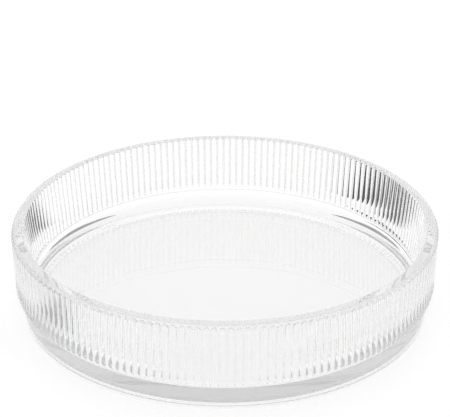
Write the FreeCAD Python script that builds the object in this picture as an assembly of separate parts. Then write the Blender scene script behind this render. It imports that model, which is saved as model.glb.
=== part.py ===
"""A round pressed-glass vanity tray. The moulding is cut into four solids where its shape changes: foot ring,
floor plate, ribbed wall and rim lip. Millimetres, +Z up, origin at the centre of the circle it stands on."""

import FreeCAD, Part
import math
import os

from FreeCAD import Vector

# Whole tray
HEIGHT = 51.5
RIBS = 180

# Rim lip: a smooth band above the ribs
LIP_RADIUS = 118.6
LIP_HEIGHT = 1.0
LIP_ROUND = 0.9

# Ribs: half-round reeds on the outside of the wall, which leans out a little towards the rim
CREST_RADIUS_TOP = 120.0
CREST_RADIUS_BOTTOM = 119.0
RIB_DEPTH = 1.4
RIB_BOTTOM = 15.6
RIB_END_BOTTOM = 3.4
RIB_END_TOP = 2.0
RIB_CLEARANCE = 0.3

# Bore: the smooth inside of the wall, wider at the rim
BORE_RADIUS_RIM = 113.0
BORE_RADIUS_FLOOR = 108.4
BORE_FILLET = 7.5

# Floor
FLOOR_TOP = 8.0
RECESS_HEIGHT = 1.0
RECESS_RADIUS = 107.6

# Foot: a smooth band under the ribs
FOOT_RADIUS = 115.0
FOOT_BAND_TOP = 12.4
FOOT_ROUND = 2.0
FOOT_INNER_ROUND = 0.4

FLOOR_RADIUS = BORE_RADIUS_FLOOR - BORE_FILLET
FILLET_TOP = FLOOR_TOP + BORE_FILLET
RIB_TOP = HEIGHT - LIP_HEIGHT
WALL_BASE_RADIUS = CREST_RADIUS_BOTTOM - RIB_DEPTH - RIB_CLEARANCE


def at(radius, z):
    return Vector(radius, 0, z)


def bore_radius(z):
    share = (z - FILLET_TOP) / (HEIGHT - FILLET_TOP)
    return BORE_RADIUS_FLOOR + share * (BORE_RADIUS_RIM - BORE_RADIUS_FLOOR)


def quarter(start, end, centre):
    """The round stretch from start to end about centre."""
    radius = start.distanceToPoint(centre)
    middle = centre + ((start + end) / 2 - centre).normalize() * radius
    return Part.Arc(start, middle, end).toShape()


def line(start, end):
    return Part.makeLine(start, end)


def turned(edges):
    """The solid that a closed outline in the XZ plane sweeps round the Z axis."""
    face = Part.Face(Part.Wire(edges))
    return face.revolve(Vector(0, 0, 0), Vector(0, 0, 1), 360)


def rib_outline(crest_radius, z):
    """The wall's outside at one height: one arc for each rib, meeting its neighbours at sharp valleys."""
    step = 2 * math.pi / RIBS
    groove_radius = crest_radius - RIB_DEPTH

    def polar(radius, turn):
        return Vector(radius * math.cos(turn), radius * math.sin(turn), z)

    arcs = []
    for rib in range(RIBS):
        start = polar(groove_radius, rib * step)
        crest = polar(crest_radius, (rib + 0.5) * step)
        end = polar(groove_radius, (rib + 1) * step)
        arcs.append(Part.Arc(start, crest, end).toShape())
    return Part.Wire(arcs)


def rib_envelope():
    """The wall's solid between bore and ribs, with the outside rounded in at both ends so that each rib ends
    in a rounded tip."""
    outside = CREST_RADIUS_TOP + RIB_CLEARANCE
    low = at(WALL_BASE_RADIUS, RIB_BOTTOM)
    low_end = at(CREST_RADIUS_BOTTOM + RIB_CLEARANCE, RIB_BOTTOM + RIB_END_BOTTOM)
    high_end = at(outside, RIB_TOP - RIB_END_TOP)
    high = at(LIP_RADIUS - RIB_CLEARANCE, RIB_TOP)
    bore_low = at(bore_radius(RIB_BOTTOM), RIB_BOTTOM)
    bore_high = at(bore_radius(RIB_TOP), RIB_TOP)
    low_middle = at(low_end.x - (low_end.x - low.x) * 0.3, low.z + RIB_END_BOTTOM * 0.3)
    high_middle = at(high_end.x - (high_end.x - high.x) * 0.3, high.z - RIB_END_TOP * 0.3)
    return turned([
        line(bore_low, low),
        Part.Arc(low, low_middle, low_end).toShape(),
        line(low_end, high_end),
        Part.Arc(high_end, high_middle, high).toShape(),
        line(high, bore_high),
        line(bore_high, bore_low),
    ])


def ribbed_wall():
    rise = RIB_TOP - RIB_BOTTOM
    slope = (CREST_RADIUS_TOP - CREST_RADIUS_BOTTOM) / rise
    low_z = RIB_BOTTOM - 1
    high_z = RIB_TOP + 1
    low = rib_outline(CREST_RADIUS_BOTTOM - slope, low_z)
    high = rib_outline(CREST_RADIUS_TOP + slope, high_z)
    reeded_block = Part.makeLoft([low, high], True, True)
    return rib_envelope().common(reeded_block)


def rim_lip():
    bore_low = at(bore_radius(RIB_TOP), RIB_TOP)
    bore_high = at(bore_radius(HEIGHT), HEIGHT)
    inner_side = at(bore_radius(HEIGHT - LIP_ROUND), HEIGHT - LIP_ROUND)
    inner_top = at(bore_high.x + LIP_ROUND, HEIGHT)
    outer_top = at(LIP_RADIUS - LIP_ROUND, HEIGHT)
    outer_side = at(LIP_RADIUS, HEIGHT - LIP_ROUND)
    outer_low = at(LIP_RADIUS, RIB_TOP)
    return turned([
        line(bore_low, outer_low),
        line(outer_low, outer_side),
        quarter(outer_side, outer_top, at(outer_top.x, outer_side.z)),
        line(outer_top, inner_top),
        quarter(inner_top, inner_side, at(inner_top.x, inner_side.z)),
        line(inner_side, bore_low),
    ])


def foot_ring():
    floor_edge = at(FLOOR_RADIUS, FLOOR_TOP)
    fillet_end = at(BORE_RADIUS_FLOOR, FILLET_TOP)
    wall_inside = at(bore_radius(RIB_BOTTOM), RIB_BOTTOM)
    wall_outside = at(WALL_BASE_RADIUS, RIB_BOTTOM)
    band_top = at(FOOT_RADIUS, FOOT_BAND_TOP)
    shoulder = at(FOOT_RADIUS + (WALL_BASE_RADIUS - FOOT_RADIUS) * 0.3, FOOT_BAND_TOP + 2.0)
    band_low = at(FOOT_RADIUS, FOOT_ROUND)
    base_out = at(FOOT_RADIUS - FOOT_ROUND, 0)
    base_in = at(RECESS_RADIUS + FOOT_INNER_ROUND, 0)
    recess_low = at(RECESS_RADIUS, FOOT_INNER_ROUND)
    recess_corner = at(RECESS_RADIUS, RECESS_HEIGHT)
    plate_corner = at(FLOOR_RADIUS, RECESS_HEIGHT)
    return turned([
        quarter(floor_edge, fillet_end, at(FLOOR_RADIUS, FILLET_TOP)),
        line(fillet_end, wall_inside),
        line(wall_inside, wall_outside),
        Part.Arc(wall_outside, shoulder, band_top).toShape(),
        line(band_top, band_low),
        quarter(band_low, base_out, at(base_out.x, FOOT_ROUND)),
        line(base_out, base_in),
        quarter(base_in, recess_low, at(base_in.x, FOOT_INNER_ROUND)),
        line(recess_low, recess_corner),
        line(recess_corner, plate_corner),
        line(plate_corner, floor_edge),
    ])


def floor_plate():
    return Part.makeCylinder(FLOOR_RADIUS, FLOOR_TOP - RECESS_HEIGHT, at(0, RECESS_HEIGHT))


def export(name, shape):
    if not shape.isValid() or len(shape.Solids) != 1:
        raise ValueError(f"{name} is not one valid solid")
    box = shape.BoundBox
    shape.exportStep(f"parts/{name}.step")
    print(f"{name}: {shape.Volume / 1000:.1f} cm3, z {box.ZMin:.2f} to {box.ZMax:.2f}, x to {box.XMax:.2f}")


os.makedirs("parts", exist_ok=True)
export("foot_ring", foot_ring())
export("floor_plate", floor_plate())
export("ribbed_wall", ribbed_wall())
export("rim_lip", rim_lip())
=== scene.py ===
import math

import bmesh
import bpy
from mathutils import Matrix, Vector


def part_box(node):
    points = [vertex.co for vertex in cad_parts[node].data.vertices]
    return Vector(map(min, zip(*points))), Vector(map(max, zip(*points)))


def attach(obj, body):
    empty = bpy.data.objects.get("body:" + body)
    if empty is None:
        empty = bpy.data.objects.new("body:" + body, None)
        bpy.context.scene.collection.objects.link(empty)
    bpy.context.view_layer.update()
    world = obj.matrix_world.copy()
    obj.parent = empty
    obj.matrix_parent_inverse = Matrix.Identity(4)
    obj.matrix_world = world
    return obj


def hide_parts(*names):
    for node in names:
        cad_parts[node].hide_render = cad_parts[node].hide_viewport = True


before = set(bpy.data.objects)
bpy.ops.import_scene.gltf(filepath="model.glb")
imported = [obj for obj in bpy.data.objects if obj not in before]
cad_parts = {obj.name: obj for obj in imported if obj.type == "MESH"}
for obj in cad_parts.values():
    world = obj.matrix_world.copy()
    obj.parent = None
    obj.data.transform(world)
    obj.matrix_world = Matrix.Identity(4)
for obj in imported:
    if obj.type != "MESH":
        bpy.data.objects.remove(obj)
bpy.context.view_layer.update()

# Sizes that the CAD boxes give, in metres
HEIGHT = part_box("rim_lip")[1].z
LIP_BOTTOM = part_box("rim_lip")[0].z
LIP_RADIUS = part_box("rim_lip")[1].x
RIB_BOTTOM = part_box("ribbed_wall")[0].z
FLOOR_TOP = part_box("floor_plate")[1].z
RECESS_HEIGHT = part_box("floor_plate")[0].z

# Sizes inside the moulding, in metres. They are the CAD model's, except that the rib crests are 0.1 mm lower,
# so that the ribs stay inside the CAD box, and that RECESS_ROUND softens a corner that is sharp there.
RIBS = 180
CREST_RADIUS_TOP = 0.1199
CREST_RADIUS_BOTTOM = 0.1189
RIB_DEPTH = 0.0014
RIB_END_TOP = 0.0020
RIB_END_BOTTOM = 0.0034
BORE_RADIUS_RIM = 0.1130
BORE_RADIUS_FLOOR = 0.1084
BORE_FILLET = 0.0075
LIP_ROUND = 0.0009
FOOT_RADIUS = 0.1150
FOOT_BAND_TOP = 0.0124
FOOT_ROUND = 0.0020
FOOT_INNER_ROUND = 0.0004
RECESS_RADIUS = 0.1076
RECESS_ROUND = 0.0006

# Half the width of a rib, and the radius of its round surface
HALF_RIB = math.pi * CREST_RADIUS_BOTTOM / RIBS
RIB_ROUND = (HALF_RIB ** 2 + RIB_DEPTH ** 2) / (2 * RIB_DEPTH)

# How finely the glass is meshed
STEPS_PER_RIB = 12
SMOOTH_STEPS_PER_RIB = 4
SMOOTH_COUNT = RIBS * SMOOTH_STEPS_PER_RIB
END_ROWS = 6
FILLET_STEPS = 8
LIP_STEPS = 6
CORNER_STEPS = 5
FLAT_SHARES = (0.04, 0.2, 0.4, 0.6, 0.8, 0.93)

# Glass: light taken up per metre, low waves in its surface, and small patches that are a little worn
GLASS_IOR = 1.5
GLASS_DENSITY = 2.0
WAVE_SCALE = 28
WAVE_DETAIL = 1.5
WAVE_STRENGTH = 0.35
WAVE_HEIGHT = 0.0002
WEAR_SCALE = 90
WEAR_DETAIL = 3
WEAR_FROM = 0.45
WEAR_TO = 0.75
WORN_ROUGHNESS = 0.02
GLASS_BOUNCES = 96

# Floor: a pale glowing table top with a faint grain, just under the tray's foot
FLOOR_REACH = 6.0
FLOOR_GAP = 0.0002
FLOOR_GREY = 0.3
FLOOR_SPECULAR = 0.2
FLOOR_GLOW = 0.725
GRAIN_SCALE = 40
GRAIN_DETAIL = 2
GRAIN_FROM = 0.3
GRAIN_TO = 0.7
FLOOR_ROUGHNESS_LOW = 0.55
FLOOR_ROUGHNESS_HIGH = 0.65

# Cards of painted shade, dark patches on the table beside the tray: height above the floor, and how the
# outline of a crescent is drawn
SHADE_CARD_LIFT = 0.0004
SHADE_CARD_STEPS = 16
CRESCENT_POWER = 0.7

# Surroundings: brightness, its share at the far left and right, and where it starts and stops falling
SURROUND_LIGHT = 1.05
SIDE_SHARE = 0.75
SIDE_FROM = 0.72
SIDE_TO = 0.85

# Camera: angles in degrees, lengths in metres, lens and sensor in millimetres
CAMERA_AZIMUTH = -0.45
CAMERA_ELEVATION = 26.13
CAMERA_DISTANCE = 0.8748
CAMERA_LENS = 124.56
CAMERA_SENSOR = 36
CAMERA_CLIP_START = 0.05
AIM_ABOVE_RIM = 0.0065


def arc(centre, radius, start, end, steps):
    """Points (r, z) round a centre, from one angle to another in degrees, both ends included."""
    points = []
    for i in range(steps + 1):
        turn = math.radians(start + (end - start) * i / steps)
        points.append((centre[0] + radius * math.cos(turn), centre[1] + radius * math.sin(turn)))
    return points


def inside_profile():
    """From the middle of the floor out, up the bore and over the lip to the top of its outer side."""
    floor_radius = BORE_RADIUS_FLOOR - BORE_FILLET
    lip_low = HEIGHT - LIP_ROUND
    points = [(floor_radius * share, FLOOR_TOP) for share in FLAT_SHARES]
    points += arc((floor_radius, FLOOR_TOP + BORE_FILLET), BORE_FILLET, -90, 0, FILLET_STEPS)
    points += arc((BORE_RADIUS_RIM + LIP_ROUND, lip_low), LIP_ROUND, 180, 90, LIP_STEPS)
    points += arc((LIP_RADIUS - LIP_ROUND, lip_low), LIP_ROUND, 90, 0, LIP_STEPS)
    return points


def shoulder():
    """The hollow quarter ellipse from the foot of the ribs in and down to the top of the foot band."""
    groove = CREST_RADIUS_BOTTOM - RIB_DEPTH
    reach = groove - FOOT_RADIUS
    drop = RIB_BOTTOM - FOOT_BAND_TOP
    points = []
    for i in range(1, FILLET_STEPS + 1):
        turn = math.pi / 2 * i / FILLET_STEPS
        points.append((groove - reach * math.sin(turn), RIB_BOTTOM - drop * (1 - math.cos(turn))))
    return points


def outside_profile():
    """From the shoulder under the ribs down the foot, round its bottom and in along the floor's underside."""
    foot_inner = (RECESS_RADIUS + FOOT_INNER_ROUND, FOOT_INNER_ROUND)
    recess_corner = (RECESS_RADIUS - RECESS_ROUND, RECESS_HEIGHT - RECESS_ROUND)
    points = shoulder()
    points += arc((FOOT_RADIUS - FOOT_ROUND, FOOT_ROUND), FOOT_ROUND, 0, -90, FILLET_STEPS)
    points += arc(foot_inner, FOOT_INNER_ROUND, -90, -180, CORNER_STEPS)
    points += arc(recess_corner, RECESS_ROUND, 0, 90, CORNER_STEPS)
    points += [(RECESS_RADIUS * share, RECESS_HEIGHT) for share in reversed(FLAT_SHARES)]
    return points


def rib_shares():
    """Places across one rib, as shares of its width, at even turns of its round surface."""
    half_turn = math.asin(HALF_RIB / RIB_ROUND)
    shares = []
    for i in range(STEPS_PER_RIB):
        turn = -half_turn + 2 * half_turn * i / STEPS_PER_RIB
        shares.append(0.5 + 0.5 * math.sin(turn) / math.sin(half_turn))
    return shares


def rib_height(across, along):
    """How far a rib stands out of the groove surface. Both distances are from its middle line or from the
    centre of its round end, in half widths."""
    distance = min(1, math.hypot(across, along))
    return math.sqrt(RIB_ROUND ** 2 - (distance * HALF_RIB) ** 2) - (RIB_ROUND - RIB_DEPTH)


def rib_rows():
    """Heights of the mesh rows up the ribbed wall, each with its place along the round rib ends."""
    rows = []
    for i in range(END_ROWS + 1):
        along = math.cos(math.pi / 2 * i / END_ROWS)
        rows.append((RIB_BOTTOM + RIB_END_BOTTOM * (1 - along), along))
    rows.append(((RIB_BOTTOM + LIP_BOTTOM) / 2, 0))
    for i in range(END_ROWS, -1, -1):
        along = math.cos(math.pi / 2 * i / END_ROWS)
        rows.append((LIP_BOTTOM - RIB_END_TOP * (1 - along), along))
    return rows


def polar_vertex(mesh, radius, turn, z):
    return mesh.verts.new((radius * math.cos(turn), radius * math.sin(turn), z))


def smooth_ring(mesh, radius, z):
    return [polar_vertex(mesh, radius, 2 * math.pi * i / SMOOTH_COUNT, z) for i in range(SMOOTH_COUNT)]


def rib_ring(mesh, z, along):
    """One row of the ribbed wall, all the way round."""
    rise = (z - RIB_BOTTOM) / (LIP_BOTTOM - RIB_BOTTOM)
    groove = CREST_RADIUS_BOTTOM + rise * (CREST_RADIUS_TOP - CREST_RADIUS_BOTTOM) - RIB_DEPTH
    row = []
    for rib in range(RIBS):
        for share in rib_shares():
            radius = groove + rib_height(abs(2 * share - 1), along)
            row.append(polar_vertex(mesh, radius, 2 * math.pi * (rib + share) / RIBS, z))
    return row


def join(mesh, rings):
    """Faces between rings that follow each other and have the same number of points."""
    for upper, lower in zip(rings, rings[1:]):
        for i in range(len(upper)):
            k = (i + 1) % len(upper)
            mesh.faces.new((upper[i], upper[k], lower[k], lower[i]))


def join_ribbed(mesh, fine, coarse):
    """Faces between a ribbed row and a smooth ring, which has fewer points."""
    ratio = STEPS_PER_RIB // SMOOTH_STEPS_PER_RIB
    for i in range(len(coarse)):
        fan = [fine[(i * ratio + j) % len(fine)] for j in range(ratio + 1)]
        mesh.faces.new(fan + [coarse[(i + 1) % len(coarse)], coarse[i]])


def close(mesh, ring, z):
    """Fills a ring with faces to its centre."""
    centre = mesh.verts.new((0, 0, z))
    for i in range(len(ring)):
        mesh.faces.new((centre, ring[i], ring[(i + 1) % len(ring)]))


def tray_mesh():
    """One closed mesh of the whole moulding."""
    mesh = bmesh.new()
    inner = [smooth_ring(mesh, radius, z) for radius, z in inside_profile()]
    ribs = [rib_ring(mesh, z, along) for z, along in rib_rows()]
    outer = [smooth_ring(mesh, radius, z) for radius, z in outside_profile()]
    close(mesh, inner[0], FLOOR_TOP)
    join(mesh, inner)
    join_ribbed(mesh, ribs[-1], inner[-1])
    join(mesh, ribs[::-1])
    join_ribbed(mesh, ribs[0], outer[0])
    join(mesh, outer)
    close(mesh, outer[-1], RECESS_HEIGHT)
    bmesh.ops.recalc_face_normals(mesh, faces=mesh.faces)
    bmesh.ops.triangulate(mesh, faces=[f for f in mesh.faces if len(f.verts) > 4])
    data = bpy.data.meshes.new("glass_tray")
    mesh.to_mesh(data)
    mesh.free()
    data.shade_smooth()
    return data


def noise(nodes, links, coords, scale, detail):
    """A cloud pattern fixed to the object. Returns the socket with its value."""
    clouds = nodes.new("ShaderNodeTexNoise")
    clouds.inputs["Scale"].default_value = scale
    clouds.inputs["Detail"].default_value = detail
    links.new(coords.outputs["Object"], clouds.inputs["Vector"])
    return clouds.outputs["Fac"]


def ranged(nodes, links, value, low, high, to_low, to_high):
    """Moves a value from one range into another, kept inside it. Returns the socket with the result."""
    change = nodes.new("ShaderNodeMapRange")
    change.inputs["From Min"].default_value = low
    change.inputs["From Max"].default_value = high
    change.inputs["To Min"].default_value = to_low
    change.inputs["To Max"].default_value = to_high
    links.new(value, change.inputs["Value"])
    return change.outputs["Result"]


def glass_material():
    """Clear pressed glass: low waves in its surface, small worn patches, and a faint grey in its depth."""
    material = bpy.data.materials.new("pressed_clear_glass")
    material.use_nodes = True
    nodes = material.node_tree.nodes
    links = material.node_tree.links
    coords = nodes.new("ShaderNodeTexCoord")
    shader = nodes["Principled BSDF"]
    shader.inputs["Base Color"].default_value = (1, 1, 1, 1)
    shader.inputs["Transmission Weight"].default_value = 1
    shader.inputs["IOR"].default_value = GLASS_IOR
    waves = nodes.new("ShaderNodeBump")
    waves.inputs["Strength"].default_value = WAVE_STRENGTH
    waves.inputs["Distance"].default_value = WAVE_HEIGHT
    links.new(noise(nodes, links, coords, WAVE_SCALE, WAVE_DETAIL), waves.inputs["Height"])
    links.new(waves.outputs["Normal"], shader.inputs["Normal"])
    patches = noise(nodes, links, coords, WEAR_SCALE, WEAR_DETAIL)
    roughness = ranged(nodes, links, patches, WEAR_FROM, WEAR_TO, 0, WORN_ROUGHNESS)
    links.new(roughness, shader.inputs["Roughness"])
    absorption = nodes.new("ShaderNodeVolumeAbsorption")
    absorption.inputs["Color"].default_value = (0, 0, 0, 1)
    absorption.inputs["Density"].default_value = GLASS_DENSITY
    links.new(absorption.outputs[0], nodes["Material Output"].inputs["Volume"])
    return material


def floor_material():
    """A pale table top that gives off light of its own, like a light table."""
    material = bpy.data.materials.new("pale_floor")
    material.use_nodes = True
    nodes = material.node_tree.nodes
    links = material.node_tree.links
    coords = nodes.new("ShaderNodeTexCoord")
    shader = nodes["Principled BSDF"]
    shader.inputs["Base Color"].default_value = (FLOOR_GREY, FLOOR_GREY, FLOOR_GREY, 1)
    shader.inputs["Specular IOR Level"].default_value = FLOOR_SPECULAR
    shader.inputs["Emission Color"].default_value = (1, 1, 1, 1)
    shader.inputs["Emission Strength"].default_value = FLOOR_GLOW
    grain = noise(nodes, links, coords, GRAIN_SCALE, GRAIN_DETAIL)
    roughness = ranged(
        nodes, links, grain, GRAIN_FROM, GRAIN_TO, FLOOR_ROUGHNESS_LOW, FLOOR_ROUGHNESS_HIGH
    )
    links.new(roughness, shader.inputs["Roughness"])
    return material


def painted_shade_card_material(name, level):
    """Matt card in an even grey, a patch of painted shade."""
    material = bpy.data.materials.new(name)
    material.use_nodes = True
    shader = material.node_tree.nodes["Principled BSDF"]
    shader.inputs["Base Color"].default_value = (level, level, level, 1)
    shader.inputs["Roughness"].default_value = 1
    shader.inputs["Specular IOR Level"].default_value = 0
    return material


def add_tray():
    tray = bpy.data.objects.new("glass_tray", tray_mesh())
    bpy.context.scene.collection.objects.link(tray)
    tray.data.materials.append(glass_material())
    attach(tray, "root")
    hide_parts("foot_ring", "floor_plate", "ribbed_wall", "rim_lip")


def add_floor():
    data = bpy.data.meshes.new("floor")
    corners = [(-1, -1), (1, -1), (1, 1), (-1, 1)]
    points = [(FLOOR_REACH * x, FLOOR_REACH * y, -FLOOR_GAP) for x, y in corners]
    data.from_pydata(points, [], [(0, 1, 2, 3)])
    floor = bpy.data.objects.new("floor", data)
    floor.data.materials.append(floor_material())
    bpy.context.scene.collection.objects.link(floor)


def crescent(start, end, near, far):
    """Outline of a flat crescent between two azimuths and two distances from the tray's middle."""
    near_edge = []
    far_edge = []
    for i in range(SHADE_CARD_STEPS + 1):
        turn = math.radians(start + (end - start) * i / SHADE_CARD_STEPS)
        reach = near + (far - near) * math.sin(math.pi * i / SHADE_CARD_STEPS) ** CRESCENT_POWER
        near_edge.append((near * math.sin(turn), near * math.cos(turn), SHADE_CARD_LIFT))
        far_edge.append((reach * math.sin(turn), reach * math.cos(turn), SHADE_CARD_LIFT))
    return near_edge + far_edge[-2:0:-1]


def add_painted_shade_card(name, start, end, near, far, level):
    """A grey crescent card of painted shade that lies on the floor beside the tray and is seen only through
    the glass.
    Azimuth 0 is behind the tray and 90 on its right."""
    points = crescent(start, end, near, far)
    data = bpy.data.meshes.new(name)
    data.from_pydata(points, [], [tuple(range(len(points)))])
    data.materials.append(painted_shade_card_material(name, level))
    card = bpy.data.objects.new(name, data)
    bpy.context.scene.collection.objects.link(card)
    card.visible_camera = False
    card.visible_diffuse = False
    card.visible_shadow = False


def add_painted_shade_cards():
    # Far cards of painted shade: the dark lines in the ribs at the back, right and left, and the dots under
    # them
    add_painted_shade_card("painted_shade_right_back", start=38, end=50, near=0.160, far=0.215, level=0.03)
    add_painted_shade_card("painted_shade_right", start=50, end=62, near=0.153, far=0.205, level=0.08)
    add_painted_shade_card("painted_shade_left", start=-77, end=-60, near=0.156, far=0.200, level=0.06)
    # Narrow strips of painted shade close to the foot: the dark arcs at the edge of the tray's floor
    add_painted_shade_card("painted_shade_strip_right", start=34, end=64, near=0.1225, far=0.1290, level=0.4)
    add_painted_shade_card("painted_shade_strip_left", start=-64, end=-34, near=0.1225, far=0.1290, level=0.4)
    # A card of painted shade for the dark lines in the ribs at the front left
    add_painted_shade_card("painted_shade_left_front", start=-120, end=-102, near=0.126, far=0.140, level=0.2)


def add_camera():
    """Looks down on the tray from in front, at a point a little above the middle of the rim."""
    azimuth = math.radians(CAMERA_AZIMUTH)
    elevation = math.radians(CAMERA_ELEVATION)
    aim = Vector((0, 0, HEIGHT + AIM_ABOVE_RIM))
    back = Vector((
        math.sin(azimuth) * math.cos(elevation),
        -math.cos(azimuth) * math.cos(elevation),
        math.sin(elevation),
    ))
    data = bpy.data.cameras.new("camera")
    data.sensor_width = CAMERA_SENSOR
    data.lens = CAMERA_LENS
    data.clip_start = CAMERA_CLIP_START
    camera = bpy.data.objects.new("camera", data)
    camera.location = aim + back * CAMERA_DISTANCE
    camera.rotation_mode = "QUATERNION"
    camera.rotation_quaternion = (-back).to_track_quat("-Z", "Y")
    bpy.context.scene.collection.objects.link(camera)
    bpy.context.scene.camera = camera


def add_world():
    """Even white light all round, dimmer towards the far left and right."""
    world = bpy.data.worlds.new("studio")
    bpy.context.scene.world = world
    world.use_nodes = True
    nodes = world.node_tree.nodes
    links = world.node_tree.links
    background = nodes["Background"]
    background.inputs["Strength"].default_value = SURROUND_LIGHT
    coords = nodes.new("ShaderNodeTexCoord")
    direction = nodes.new("ShaderNodeSeparateXYZ")
    links.new(coords.outputs["Generated"], direction.inputs[0])
    sideways = nodes.new("ShaderNodeMath")
    sideways.operation = "ABSOLUTE"
    links.new(direction.outputs["X"], sideways.inputs[0])
    level = ranged(nodes, links, sideways.outputs[0], SIDE_FROM, SIDE_TO, 1, SIDE_SHARE)
    links.new(level, background.inputs["Color"])


def set_light_paths():
    """Lets light cross the many faces of ribbed glass before it is given up."""
    scene = bpy.context.scene
    scene.view_settings.view_transform = "Standard"
    scene.cycles.use_denoising = True
    scene.cycles.max_bounces = GLASS_BOUNCES
    scene.cycles.transmission_bounces = GLASS_BOUNCES
    scene.cycles.glossy_bounces = GLASS_BOUNCES


set_light_paths()
add_camera()
add_world()
add_floor()
add_painted_shade_cards()
add_tray()
